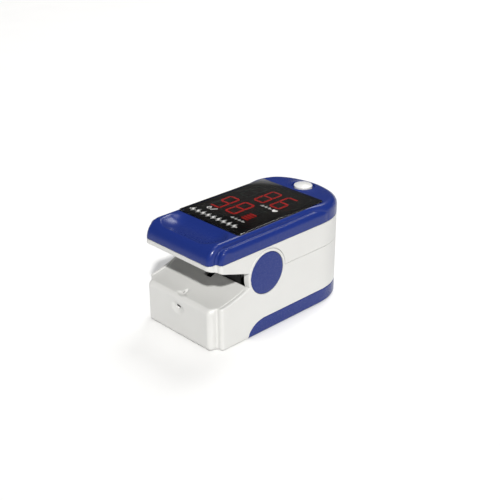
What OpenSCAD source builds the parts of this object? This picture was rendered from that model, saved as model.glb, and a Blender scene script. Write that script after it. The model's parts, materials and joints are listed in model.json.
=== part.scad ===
// Fingertip pulse oximeter: a sprung clip of two housings that open on one cross axle.
// X runs across the body, Y from the lever end to the finger end, Z up from the table.
// All parts are drawn with Y = 0 at the lever end and moved to the middle by place().

/* [Body] */
// Width across the side panels
body_w = 31; // [31:0.1:31.6]
// Length from the lever end to the finger end
body_l = 58; // [58:0.1:58.6]
// Height of the display window above the table
body_h = 32; // [32:0.1:32.4]
// Wall thickness of the two white housings
wall = 1.5; // [1.4:0.05:1.55]
// Gap left along the parting lines
seam = 0.1; // [0.06:0.02:0.14]

/* [Hinge] */
// Height of the hinge axis above the table
hinge_z = 18.75; // [18.7:0.05:18.8]
// Radius of the round ear that carries the axle
ear_r = 7.3; // [7.2:0.05:7.35]
// Radius of the blue cap over the axle
cap_r = 6.4; // [6.2:0.05:6.45]
// Radius of the steel axle
axle_r = 1.25; // [1.1:0.05:1.3]

/* [Display] */
// Length of the display window
window_l = 34.2; // [33.8:0.1:34.4]
// Width of the display window
window_w = 25.4; // [25:0.1:25.6]
// Radius of the power button
button_r = 2.85; // [2.7:0.05:2.9]

/* [Finger channel] */
// Radius of the arcs of the finger channel
channel_r = 8; // [7.8:0.05:8.1]
// Depth of the channel in each pad, below the parting line
channel_d = 4.3; // [4.2:0.05:4.4]

/* [Hidden] */
$fn = 64;
eps = 0.01;

// Colours
white = [0.86, 0.86, 0.84];
blue = [0.13, 0.17, 0.60];
black = [0.05, 0.05, 0.05];
steel = [0.72, 0.73, 0.75];
board_green = [0.05, 0.30, 0.16];
red = [0.95, 0.12, 0.10];
clear = [0.85, 0.90, 0.95, 0.5];

// Plan outline
half_w = body_w / 2;
block_hw = 13.6;            // half width of the front block
block_r = 1.6;              // its corner radius
panel_y = 2.7;              // front of the side panels
panel_r = 1.1;              // their corner radius
notch_r = 0.6;              // fillet between block and panel
rear_y = 42.85;             // where the rounded end begins
rear_p = 2.32;              // exponent of the rounded end
thin_r = 0.05;              // smallest corner radius kept on an inset outline

// Heights
part_z = 19;                // parting line at the finger end
cover_z = 26.7;             // lower edge of the blue cover
band_z = 25.25;             // lower edge of the white band at the lever end
lever_fall = 0.3324;        // fall of that edge per millimetre towards the hinge
floor_z = 24.9;             // underside of the upper floor
floor_t = 1;
door_z = 5.05;              // top edge of the battery cover's wall
door_floor = 1.3;
door_wall = 1.4;
deck_z = 12.2;              // underside of the sensor tray's deck
deck_t = 1;
deck_top = deck_z + deck_t;
slope = [[0, 11.9], [0.4, 12.6], [1.2, 13.05], [3, 13.45], [6, 14.05], [9, 14.75], [11, 15.4], [13.5, 16.4]];
slope_end = 13.5;

// Hinge
hinge_y = 20.45;
ear_x = 13.4;               // inner face of the lower ears
cap_x = 14.3;               // inner face of the caps
cap_fit = 0.05;
lug_x0 = 11.7;              // upper lugs on the axle
lug_x1 = 13.2;
lug_r = 4;
ear_gap = 0.15;
axle_end = 14.2;
axle_fit = 0.05;

// Power button
button_y = 51.4;
button_fit = 0.08;

// Window
window_y0 = 12.4;
window_t = 0.8;
window_fit = 0.08;
window_r = 0.8;

// Boards
board_z = 27;
board_t = 1;
board_top = board_z + board_t;

// Finger channel
stop_y = 26;                // the finger's stop
pad_y0 = 24.5;
pad_y1 = 56.3;
pad_hw = 10.4;
pad_gap = 0.15;             // gap between a pad and the parting line
lower_arc_z = part_z - channel_d + channel_r;
upper_arc_z = part_z + channel_d - channel_r;
mouth_r = channel_r + 1.1;

// Batteries, size AAA
cell_r = 5.25;
cell_l = 43.7;
nub_l = 0.8;
nub_r = 1.9;
cell_x = 5.45;
cell_z = 6.8;
bay_y0 = 4.9;
plate_t = 0.3;
spring_l = 2.7;
bay_y1 = bay_y0 + cell_l + nub_l + spring_l;
rail_x0 = 10.95;            // rails beside the batteries
rail_x1 = 13.9;
rail_y0 = 14.4;
rail_y1 = 44.8;
rib_x = 12.7;               // ribs of the cover, in the grooves of the rails
rib_z = 2.6;
rib_t = 0.8;

// Segments of the digits
seg_w = 0.9;
seg_t = 0.12;
digit_w = 4.6;
digit_h = 9.1;
module_top = 31.02;

// ---------- Outlines ----------
function arc(c, r, a0, a1, n) =
    [for (i = [0:n]) let (a = a0 + (a1 - a0) * i / n) c + r * [cos(a), sin(a)]];

// Superellipse quarter from the side to the middle of the rounded end
function rear_quarter(d, n) =
    [for (i = [0:n - 1]) let (t = 90 * i / n)
        [(half_w - d) * pow(cos(t), 2 / rear_p),
         rear_y + (body_l - rear_y - d) * pow(sin(t), 2 / rear_p)]];

function mirrored(half, y_end) =
    concat(half, [[0, y_end]],
           [for (i = [len(half) - 1:-1:0]) [-half[i][0], half[i][1]]]);

// Outer outline of the body, moved inwards by d
function block_corner(d) = let (r = max(block_r - d, thin_r))
    arc([block_hw - d - r, d + r], r, -90, 0, 6);
function notch_corner(d) =
    arc([block_hw + notch_r, panel_y - notch_r], notch_r + d, 180, 90, 4);
function panel_corner(d) = let (r = max(panel_r - d, thin_r))
    arc([half_w - d - r, panel_y + d + r], r, -90, 0, 5);
function outline(d) =
    mirrored(concat(block_corner(d), notch_corner(d), panel_corner(d), rear_quarter(d, 16)),
             body_l - d);

// Inside of a wall of thickness t
function inner_outline(t) =
    mirrored(concat([[block_hw - t, t], [block_hw - t, panel_y + t], [half_w - t, panel_y + t]],
                    rear_quarter(t, 12)),
             body_l - t);

// Plain outline with round front corners, inset d at the sides and f at the front
function cushion_outline(d, f, r) =
    mirrored(concat(arc([half_w - d - r, f + r], r, -90, 0, 8), rear_quarter(d, 16)),
             body_l - d);

// ---------- Building blocks ----------
module place() {
    translate([0, -body_l / 2, 0]) children();
}

module slab(z0, z1) {
    translate([0, 0, z0]) linear_extrude(z1 - z0) children();
}

// A box from its lowest to its highest corner
module block(a, b) {
    translate(a) cube(b - a);
}

// An outline in Y and Z, drawn out from x0 to x1
module profile(x0, x1, points) {
    translate([x0, 0, 0]) rotate([90, 0, 90]) linear_extrude(x1 - x0) polygon(points);
}

// A cylinder along X at the hinge axis
module on_axle(x0, x1, r) {
    translate([x0, hinge_y, hinge_z]) rotate([0, 90, 0]) cylinder(h = x1 - x0, r = r);
}

// A cylinder along Y
module along_y(x, z, y0, y1, r) {
    translate([x, y0, z]) rotate([-90, 0, 0]) cylinder(h = y1 - y0, r = r);
}

module both_sides() {
    children();
    mirror([1, 0, 0]) children();
}

// A closed solid through rings that all have the same number of points
module loft(rings) {
    n = len(rings[0]);
    m = len(rings);
    points = [for (ring = rings) each ring];
    sides = [for (k = [0:m - 2], i = [0:n - 1]) let (j = (i + 1) % n)
        [k * n + i, (k + 1) * n + i, (k + 1) * n + j, k * n + j]];
    bottom = [for (i = [0:n - 1]) i];
    top = [for (i = [n - 1:-1:0]) (m - 1) * n + i];
    polyhedron(concat(points), concat(sides, [bottom], [top]), convexity = 6);
}

// A round wire swept along a path in space
function unit(v) = v / norm(v);
function tangent(p, i) = unit(p[min(i + 1, len(p) - 1)] - p[max(i - 1, 0)]);
module wire(path, r, side, n) {
    loft([for (i = [0:len(path) - 1])
        let (t = tangent(path, i), u = unit(cross(t, side)), v = cross(t, u))
        [for (k = [0:n - 1]) path[i] + r * (cos(360 * k / n) * u + sin(360 * k / n) * v)]]);
}

// The outline of a strip of thickness t along a path of points
function strip_normal(p, i) = let (t = tangent(p, i)) [-t[1], t[0]];
function strip(p, t) = concat(
    [for (i = [0:len(p) - 1]) p[i] + strip_normal(p, i) * t / 2],
    [for (i = [len(p) - 1:-1:0]) p[i] - strip_normal(p, i) * t / 2]);

// A pan-head screw with its head's underside at the origin, pointing along +Z
module screw(head_r, head_h, shank_r, shank_l) {
    difference() {
        translate([0, 0, -head_h]) cylinder(h = head_h, r = head_r);
        translate([0, 0, -head_h - eps]) screw_cross(head_r);
    }
    cylinder(h = shank_l, r = shank_r);
}
module screw_cross(head_r) {
    slot_w = head_r * 0.28;
    slot_l = head_r * 1.2;
    slot_d = 0.35;
    translate([-slot_l / 2, -slot_w / 2, 0]) cube([slot_l, slot_w, slot_d]);
    translate([-slot_w / 2, -slot_l / 2, 0]) cube([slot_w, slot_l, slot_d]);
}

// ---------- Shared volumes ----------
// Everything above the sloping lever face of the lower housing
module above_slope(x1) {
    profile(-x1, x1, concat([[-1, 30], [-1, slope[0][1]]], slope, [[slope_end, 30]]));
}

// The space of the battery cover, with a gap of g added
module door_space(g) {
    intersection() {
        slab(-1, door_z + g) square([body_w + 4, 4 * body_l], center = true);
        profile(-half_w - 2, half_w + 2, concat(
            [[13.1 - g, -1]],
            [for (i = [0:8]) let (a = 90 * i / 8)
                [19.7 - (6.6 + g) * cos(a), (door_z + g) * sin(a)]],
            [[body_l + 2, door_z + g], [body_l + 2, -1]]));
    }
}

// The finger's space: an arc of radius r about the height z, open at the finger end
module finger_arc(r, z) {
    along_y(0, z, stop_y + channel_r, body_l + 2, r);
    translate([0, stop_y + channel_r, z]) sphere(r = r);
}
module finger_flare(z) {
    flare = 0.9;
    translate([0, body_l - 3.2, z]) rotate([-90, 0, 0])
        cylinder(h = 3.4, r1 = channel_r, r2 = channel_r + flare);
}

// A tube around the channel that lines the mouth
module mouth_lip(z) {
    along_y(0, z, pad_y1 - 1, body_l - 0.25, mouth_r - 0.12);
}

// ---------- Lower housing ----------
strap_y = 0;                // cord eye: lower mouth on the front face
strap_z = 8.9;
strap_angle = 52;           // rise of the eye towards the lever face
strap_r = 0.9;

module strap_eye() {
    translate([0, strap_y, strap_z]) rotate([strap_angle - 90, 0, 0])
        translate([0, 0, -3]) cylinder(h = 12, r = strap_r);
}

module lower_skin() {
    difference() {
        slab(0, part_z - seam / 2) polygon(outline(0));
        above_slope(half_w + 1);
        door_space(seam);
        // inside, behind the lever face
        slab(-1, part_z + 1) intersection() {
            polygon(inner_outline(wall));
            translate([-half_w, slope_end - eps]) square([body_w, body_l]);
        }
        // inside, below the lever face
        profile(wall - block_hw, block_hw - wall,
                concat([[wall, wall]],
                       [for (p = slope) if (p[0] > wall) [p[0], p[1] - wall]],
                       [[slope_end, wall]]));
        along_y(0, lower_arc_z, body_l - 8, body_l + 1, mouth_r);
    }
}

// Solid corner around the cord eye
module strap_boss() {
    profile(-2.6, 2.6, [[0.5, 6.6], [3.2, 6.6], [4.4, 9], [4.4, 12.8], [0.5, 11.5]]);
}

// Rails beside the batteries, with grooves for the cover's ribs
module rail() {
    difference() {
        union() {
            block([rail_x0, rail_y0, 1.45], [rail_x1, rail_y1, door_z + 1.1]);
            block([rail_x0, rail_y0, door_z + 0.2], [half_w - 1, rail_y1, door_z + 1.1]);
        }
        block([rib_x - 0.2, rail_y0 - 1, rib_z - 0.2], [half_w, rail_y1 + 1, rib_z + rib_t + 0.2]);
        for (y = tray_screw_y) {
            translate([tray_screw_x, y, 0]) cylinder(h = 5.15, r = 1.4);
            translate([tray_screw_x, y, 0]) cylinder(h = 9, r = 0.8);
        }
    }
}

module bay_ends() {
    hw0 = block_hw - 1;
    block([-hw0, bay_y0 - plate_t - 1.1, 1], [hw0, bay_y0 - plate_t, deck_z - 0.1]);
    block([-10.4, bay_y1 + plate_t, door_z + 0.2], [10.4, bay_y1 + plate_t + 1, deck_z - 0.1]);
}

module lower_ears() {
    difference() {
        both_sides() on_axle(ear_x, half_w, ear_r);
        both_sides() on_axle(cap_x, half_w + 1, cap_r + cap_fit);
        slab(part_z + 7.2, body_h) square([60, 140], center = true);
    }
}

module lower_shell() color(white) place() {
    difference() {
        union() {
            difference() {
                union() {
                    lower_skin();
                    intersection() {
                        union() {
                            bay_ends();
                            strap_boss();
                        }
                        difference() {
                            slab(0.5, part_z) polygon(outline(0.4));
                            translate([0, 0, -0.4]) above_slope(half_w + 1);
                        }
                    }
                    both_sides() rail();
                }
                both_sides() on_axle(cap_x, half_w + 1, ear_r - 0.2);
            }
            lower_ears();
        }
        on_axle(-half_w, half_w, axle_r);
        strap_eye();
    }
}

// ---------- Battery cover ----------
module door_ribs() {
    both_sides() block([rib_x, 21, rib_z], [half_w - door_wall + 0.1, rail_y1 - 1, rib_z + rib_t]);
}

module door_grip() {
    for (i = [0:5])
        block([-6.5, 17 + 1.9 * i, -1], [6.5, 17.9 + 1.9 * i, 0.4]);
}

module battery_cover() color(blue) place() {
    difference() {
        intersection() {
            slab(0, door_z) polygon(outline(0));
            door_space(0);
        }
        slab(door_floor, 20) intersection() {
            polygon(inner_outline(door_wall));
            translate([-half_w, 0]) square([body_w, body_l]);
        }
        door_grip();
    }
    door_ribs();
}

// ---------- Lower inside ----------
tray_screw_x = 12.42;
tray_screw_y = [29, 42];
tray_boss_r = 1.4;

module sensor_tray() color(black) place() {
    difference() {
        union() {
            slab(deck_z, deck_top) intersection() {
                polygon(inner_outline(wall + seam));
                translate([-half_w, slope_end + 0.6]) square([body_w, body_l]);
            }
            both_sides() for (y = tray_screw_y)
                translate([tray_screw_x, y, 6.4]) cylinder(h = deck_z - 6.4 + eps, r = tray_boss_r);
        }
        both_sides() for (y = tray_screw_y)
            translate([tray_screw_x, y, 6]) cylinder(h = 4.6, r = 0.6);
        both_sides() on_axle(ear_x - 0.2, half_w, ear_r + 0.1);
    }
}

module tray_screws() color(steel) place() {
    both_sides() for (y = tray_screw_y)
        translate([tray_screw_x, y, 5.15]) screw(1.2, 0.9, 0.6, 5.2);
}

module pad_body(z0, z1) {
    intersection() {
        block([-pad_hw, pad_y0, z0], [pad_hw, body_l, z1]);
        slab(z0, z1) polygon(inner_outline(wall + 0.2));
    }
}

module lower_finger_pad() color(black) place() {
    difference() {
        union() {
            pad_body(deck_top, part_z - pad_gap);
            intersection() {
                mouth_lip(lower_arc_z);
                slab(deck_top, part_z - pad_gap) polygon(outline(0.25));
            }
        }
        finger_arc(channel_r, lower_arc_z);
        finger_flare(lower_arc_z);
        // pocket for the detector, its board and the cable
        block([-2.1, 38.9, deck_z], [2.1, 43.1, part_z - channel_d - 0.3]);
        block([-2.6, 38.4, part_z - channel_d - 0.3], [2.6, 43.6, part_z]);
        block([-4.1, 33.9, deck_z], [4.1, 46.1, deck_top + 0.65]);
        block([-2.7, pad_y0 - 1, deck_z], [2.7, 34, deck_top + 0.35]);
    }
}

module detector_board() color(board_green) place()
    block([-4, 34, deck_top], [4, 46, deck_top + 0.6]);

module photodiode() color([0.1, 0.1, 0.12]) place() difference() {
    block([-1.9, 39.1, deck_top + 0.6], [1.9, 42.9, part_z - channel_d - 0.32]);
    block([-1.3, 39.7, part_z - channel_d - 0.5], [1.3, 42.3, part_z]);
}

module detector_window() color(clear) place()
    block([-2.55, 38.45, part_z - channel_d - 0.3], [2.55, 43.55, part_z - channel_d]);

// One cell with its nub at the +Y end
module cell() {
    rotate([-90, 0, 0]) rotate_extrude() polygon([
        [0, 0], [cell_r - 0.5, 0], [cell_r, 0.5], [cell_r, cell_l - 0.5],
        [cell_r - 0.5, cell_l], [nub_r, cell_l], [nub_r, cell_l + nub_l], [0, cell_l + nub_l]]);
}

module battery_left() color([0.75, 0.45, 0.15]) place()
    translate([-cell_x, bay_y0 + cell_l + nub_l, cell_z]) mirror([0, 1, 0]) cell();

module battery_right() color([0.75, 0.45, 0.15]) place()
    translate([cell_x, bay_y0 + spring_l, cell_z]) cell();

module contact_plate(x, y) {
    block([x - 3.6, y - plate_t / 2, 2.6], [x + 3.6, y + plate_t / 2, 10.6]);
}

module front_contacts() color(steel) place() {
    for (x = [-cell_x, cell_x]) contact_plate(x, bay_y0 - plate_t / 2);
}

module rear_contact() color(steel) place()
    block([-9.2, bay_y1, door_z + 0.3], [9.2, bay_y1 + plate_t, 10.6]);

// A conical contact spring from its wide foot to its narrow tip
module contact_spring(y_foot, direction) {
    turns = 3.5;
    steps = 42;
    rise = spring_l - 0.56;
    wire([for (i = [0:steps]) let (s = i / steps, a = 360 * turns * s, r = 3.3 - 1.5 * s)
        [r * cos(a), y_foot + direction * (0.28 + rise * s), r * sin(a)]],
        0.25, [0, 1, 0], 6);
}

module contact_springs() color(steel) place() {
    translate([cell_x, 0, cell_z]) contact_spring(bay_y0, 1);
    translate([-cell_x, 0, cell_z]) contact_spring(bay_y1, -1);
}

// ---------- Hinge ----------
module hinge_axle() color(steel) place() on_axle(-axle_end, axle_end, axle_r);

module hinge_cap() on_axle(cap_x, half_w, cap_r);

module hinge_cap_left() color(blue) place() mirror([1, 0, 0]) hinge_cap();

module hinge_cap_right() color(blue) place() hinge_cap();

// Torsion spring: a leg to the tray, the coil on the axle and a leg to the upper floor
spring_wire = 0.35;
coil_r = 2.1;
coil_turns = 4.75;
coil_pitch = 0.8;
coil_x0 = 7.2;
foot_point = [15.2, 13.75];
head_point = [11, 24.4];

module torsion_spring() {
    steps = 16 * coil_turns;
    coil = [for (i = [0:steps]) let (s = i / steps, a = 225 + 360 * coil_turns * s)
        [coil_x0 + coil_pitch * coil_turns * s,
         hinge_y + coil_r * cos(a), hinge_z + coil_r * sin(a)]];
    last = coil_x0 + coil_pitch * coil_turns;
    wire(concat([[coil_x0, foot_point[0], foot_point[1]]], coil,
                [[last, head_point[0], head_point[1]]]),
         spring_wire, [1, 0, 0], 8);
}

module torsion_spring_left() color(steel) place() mirror([1, 0, 0]) torsion_spring();

module torsion_spring_right() color(steel) place() torsion_spring();

// ---------- Flexible cable between the housings ----------
cable_path = [[34, 13.37], [26, 13.37], [19, 13.4], [16.6, 13.9], [15.4, 15.4], [15.2, 18],
              [15.4, 21], [16.2, 23], [16.9, 24.3], [17, 25.4], [17, 26.2]];

module flex_cable() color([0.10, 0.08, 0.07]) place()
    profile(-2, 2, strip(cable_path, 0.2));

// ---------- Upper housing ----------
cover_screw_x = 9.5;
cover_screw_y = 5.5;

module upper_floor() {
    difference() {
        slab(floor_z, floor_z + floor_t) polygon(inner_outline(wall - 0.1));
        block([-3, 15.8, floor_z - 1], [3, 18.2, floor_z + 2]);
    }
    for (p = board_screw_places)
        translate([p[0], p[1], floor_z]) cylinder(h = board_z - floor_z, r = 1.6);
}

module lug() {
    difference() {
        union() {
            on_axle(lug_x0, lug_x1, lug_r);
            profile(lug_x0, lug_x1, [[hinge_y - lug_r, hinge_z], [hinge_y + lug_r, hinge_z],
                    [hinge_y + lug_r, floor_z + eps], [hinge_y - lug_r, floor_z + eps]]);
        }
        on_axle(lug_x0 - 1, lug_x1 + 1, axle_r + axle_fit);
    }
}

module below_lever() {
    profile(-half_w - 1, half_w + 1, [[-1, 10], [-1, band_z + lever_fall],
            [slope_end + 1, band_z - lever_fall * (slope_end + 1)], [slope_end + 1, 10]]);
}

module upper_skin() {
    difference() {
        slab(part_z + seam / 2, cover_z - seam / 2) difference() {
            polygon(outline(0));
            polygon(inner_outline(wall));
        }
        below_lever();
        along_y(0, upper_arc_z, body_l - 8, body_l + 1, mouth_r);
    }
}

module upper_shell() color(white) place() {
    difference() {
        union() {
            difference() {
                union() {
                    upper_skin();
                    upper_floor();
                }
                both_sides() on_axle(ear_x - 0.1, half_w + 1, ear_r + ear_gap);
            }
            both_sides() lug();
        }
        for (p = board_screw_places)
            translate([p[0], p[1], floor_z + 0.4]) cylinder(h = 3, r = 0.55);
        both_sides() translate([cover_screw_x, cover_screw_y, floor_z - 1]) cylinder(h = 4, r = 0.8);
    }
}

// Rings of the cover: height, inset of the sides, lean of the front, corner radius
cover_rings = [[cover_z + seam / 2, 0, 0, 1.6], [28.2, 0.05, 0.25, 1.8], [29.6, 0.35, 0.9, 2.2],
               [30.7, 0.95, 1.9, 2.8], [31.5, 1.8, 3.2, 3.4], [body_h, 2.7, 5, 4]];

module cover_outside() {
    intersection() {
        slab(cover_z + seam / 2, body_h) polygon(outline(0));
        loft([for (r = cover_rings) [for (p = cushion_outline(r[1], r[2], r[3])) [p[0], p[1], r[0]]]]);
    }
}

module rounded(w, l, r) {
    for (x = [r, w - r], y = [r, l - r]) translate([x, y]) circle(r = r);
    translate([r, 0]) square([w - 2 * r, l]);
    translate([0, r]) square([w, l - 2 * r]);
}

module window_outline(d) {
    translate([-window_w / 2 + d, window_y0 + d])
        rounded(window_w - 2 * d, window_l - 2 * d, window_r);
}

module cover_inside() {
    slab(cover_z - 1, 29.6) polygon(inner_outline(1.5));
    slab(29, body_h - 1.4) intersection() {
        polygon(inner_outline(3));
        translate([-half_w, 6.2]) square([body_w, body_l]);
    }
}

module top_cover() color(blue) place() {
    difference() {
        union() {
            difference() {
                cover_outside();
                cover_inside();
            }
            both_sides() translate([cover_screw_x, cover_screw_y, floor_z + floor_t])
                cylinder(h = 5, r = 1.7);
            translate([0, button_y, 29.3]) difference() {
                cylinder(h = 1.6, r = button_r + 1.5);
                translate([0, 0, -1]) cylinder(h = 2.3, r = button_r + 0.85);
            }
        }
        slab(body_h - window_t, body_h + 1) window_outline(-window_fit);
        slab(28, body_h + 1) window_outline(0.9);
        translate([0, button_y, 25]) cylinder(h = 10, r = button_r + button_fit);
        translate([0, button_y, body_h - 0.5]) cylinder(h = 1, r = button_r + 0.75);
        both_sides() translate([cover_screw_x, cover_screw_y, 25]) cylinder(h = 4.6, r = 0.6);
    }
}

module display_window() color([0.08, 0.07, 0.07, 0.6]) place()
    slab(body_h - window_t, body_h) window_outline(0);

module window_frame() color(black) place()
    slab(body_h - window_t - 0.15, body_h - window_t) difference() {
        window_outline(0.95);
        window_outline(1.9);
    }

board_screw_places = [[-10.5, 10.5], [10.5, 10.5], [-10.2, 45.6], [10.2, 45.6]];

module main_board() color(board_green) place()
    slab(board_z, board_top) difference() {
        union() {
            translate([-12, 8.2]) square([24, 39.3]);
            translate([-6.5, 47]) square([13, 7.4]);
        }
        for (p = board_screw_places) translate(p) circle(r = 0.8);
        translate([-2.6, 15.6]) square([5.2, 2.6]);
    }

module board_screws() color(steel) place()
    for (p = board_screw_places) translate([p[0], p[1], board_top])
        mirror([0, 0, 1]) screw(1.2, 0.7, 0.55, 2.4);

module cover_screws() color(steel) place()
    both_sides() translate([cover_screw_x, cover_screw_y, floor_z]) screw(1.3, 0.8, 0.6, 4.4);

// ---------- Display ----------
// Left end of each digit, its front end, and its lit segments in the order a to g
upper_digits = [[-10.1, 33.9, [0, 0, 0, 0, 0, 0, 0]], [-4.2, 33.9, [1, 1, 1, 1, 1, 1, 1]],
                [2.2, 33.9, [1, 0, 1, 1, 1, 1, 1]]];
lower_digits = [[-10, 21.5, [1, 1, 1, 1, 0, 1, 1]], [-3.8, 21.5, [1, 1, 1, 1, 1, 1, 1]]];
digits = concat(upper_digits, lower_digits);
bar_x = 2.7;
bar_w = 4;
bar_y = 21.5;
bar_pitch = 1.5;
bar_count = 6;
bars_lit = 3;

// A pointed bar of length l between two points, for one segment
function seg_outline(a, b) = let (t = unit(b - a), s = [-t[1], t[0]] * seg_w / 2, e = t * seg_w / 2,
                                  g = t * 0.08)
    [a + g, a + g + e + s, b - g - e + s, b - g, b - g - e - s, a + g + e - s];
seg_ends = [[[0, 2], [1, 2]], [[1, 2], [1, 1]], [[1, 1], [1, 0]], [[0, 0], [1, 0]],
            [[0, 1], [0, 0]], [[0, 2], [0, 1]], [[0, 1], [1, 1]]];

module segment(d, i) {
    w = digit_w - seg_w;
    h = (digit_h - seg_w) / 2;
    a = [d[0] + seg_w / 2 + seg_ends[i][0][0] * w, d[1] + seg_w / 2 + seg_ends[i][0][1] * h];
    b = [d[0] + seg_w / 2 + seg_ends[i][1][0] * w, d[1] + seg_w / 2 + seg_ends[i][1][1] * h];
    slab(module_top, module_top + seg_t) polygon(seg_outline(a, b));
}

module bar(i) {
    y = bar_y + bar_pitch * i;
    slab(module_top, module_top + seg_t) translate([bar_x, y]) square([bar_w, bar_pitch * 0.7]);
}

module display_module() color([0.10, 0.11, 0.10]) place() difference() {
    block([-11.2, 19, board_top + 0.7], [9.6, 44.6, module_top]);
    block([-10.4, 19.8, board_top - 1], [8.8, 43.8, module_top - 1.4]);
}

module lit_segments() color(red) place()
    for (d = digits, i = [0:6]) if (d[2][i] == 1) segment(d, i);

module unlit_segments() color([0.20, 0.22, 0.20]) place() {
    for (d = digits, i = [0:6]) if (d[2][i] == 0) segment(d, i);
    for (i = [bars_lit:bar_count - 1]) bar(i);
}

module level_bars() color(red) place() for (i = [0:bars_lit - 1]) bar(i);

// ---------- Board parts ----------
module chip(x, y, w, l, h, pins) {
    block([x - w / 2, y - l / 2, board_z - 0.1 - h], [x + w / 2, y + l / 2, board_z - 0.1]);
    for (i = [0:pins - 1]) let (py = y - l / 2 + l * (i + 0.5) / pins)
        block([x - w / 2 - 0.5, py - 0.12, board_z - 0.3], [x + w / 2 + 0.5, py + 0.12, board_z]);
}

module microcontroller() color([0.12, 0.12, 0.13]) place() chip(0, 30, 5, 5, 0.8, 8);

component_places = [[-6, 24], [-6, 26], [-6, 28], [6, 24], [6, 26.5], [6, 29], [-7.5, 34], [-5.5, 34],
                    [5.5, 35], [7.5, 35], [-3, 38], [-1, 38], [1, 38], [3, 38]];

module board_components() color([0.55, 0.45, 0.35]) place()
    for (p = component_places)
        block([p[0] - 0.4, p[1] - 0.75, board_z - 0.5], [p[0] + 0.4, p[1] + 0.75, board_z]);

module crystal() color(steel) place() block([-1.6, 34, board_z - 0.8], [1.6, 36.5, board_z]);

switch_z = 29.5;

module tact_switch() color(black) place() difference() {
    block([-2.6, button_y - 2.6, board_top], [2.6, button_y + 2.6, switch_z]);
    translate([0, button_y, board_top + 0.4]) cylinder(h = 2, r = 1.06);
}

module cable_connector() color([0.85, 0.82, 0.72]) place() difference() {
    block([-3, 16.2, board_z - 0.95], [3, 20.4, board_z]);
    block([-2.3, 16, board_z - 1], [2.3, 17.4, board_z + 1]);
}

// ---------- Upper sensor ----------
channel_top = part_z + channel_d;

module emitter_board() color(board_green) place()
    block([-4, 35, floor_z - 0.6], [4, 45, floor_z]);

module emitter_leds() color([0.9, 0.9, 0.86]) place() {
    for (y = [39.6, 42.4])
        block([-1.4, y - 1, channel_top + 0.32], [1.4, y + 1, floor_z - 0.6]);
}

module emitter_window() color(clear) place()
    block([-2.55, 38.45, channel_top], [2.55, 43.55, channel_top + 0.3]);

module upper_finger_pad() color(black) place() {
    difference() {
        union() {
            pad_body(part_z + pad_gap, floor_z);
            intersection() {
                mouth_lip(upper_arc_z);
                slab(part_z + pad_gap, floor_z - 0.05) polygon(outline(0.25));
            }
        }
        finger_arc(channel_r, upper_arc_z);
        finger_flare(upper_arc_z);
        block([-2.1, 38.5, channel_top + 0.3], [2.1, 43.5, floor_z + 1]);
        block([-2.6, 38.4, part_z], [2.6, 43.6, channel_top + 0.3]);
        block([-4.1, 34.9, floor_z - 0.65], [4.1, 45.1, floor_z + 1]);
    }
}

// ---------- Power button ----------
flange_z = 30;
dome_z = 32.1;
dome_h = 0.85;

module power_button() color([0.92, 0.92, 0.91]) place() translate([0, button_y, 0]) {
    dome_r = (pow(button_r, 2) + pow(dome_h, 2)) / (2 * dome_h);
    rotate_extrude() polygon(concat(
        [[0, flange_z], [button_r + 0.6, flange_z], [button_r + 0.6, flange_z + 0.5],
         [button_r, flange_z + 0.5], [button_r, dome_z]],
        [for (i = [1:12]) let (r = button_r * (12 - i) / 12)
            [r, dome_z + dome_h - dome_r + sqrt(pow(dome_r, 2) - pow(r, 2))]]));
}

module switch_plunger() color([0.8, 0.75, 0.65]) place()
    translate([0, button_y, 29]) cylinder(h = 1, r = 1);

lower_shell();
sensor_tray();
lower_finger_pad();
detector_board();
photodiode();
detector_window();
battery_left();
battery_right();
front_contacts();
rear_contact();
contact_springs();
tray_screws();
hinge_axle();
hinge_cap_left();
hinge_cap_right();
torsion_spring_left();
torsion_spring_right();
flex_cable();
battery_cover();
upper_shell();
top_cover();
display_window();
window_frame();
main_board();
display_module();
lit_segments();
unlit_segments();
level_bars();
microcontroller();
board_components();
crystal();
tact_switch();
cable_connector();
board_screws();
cover_screws();
emitter_board();
emitter_leds();
emitter_window();
upper_finger_pad();
power_button();
switch_plunger();
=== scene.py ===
"""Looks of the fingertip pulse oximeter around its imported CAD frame.

The moulded parts are drawn as distance fields in millimetres, with y measured from the lever end, and
turned into smooth closed meshes. The caps, the button, the window, the springs, the cable, the digits and
the marks are turned, skinned or swept. All else is the CAD's own nodes with procedural materials.
"""

import json
import math

import bmesh
import bpy
import numpy as np
from mathutils import Matrix, Vector


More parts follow.
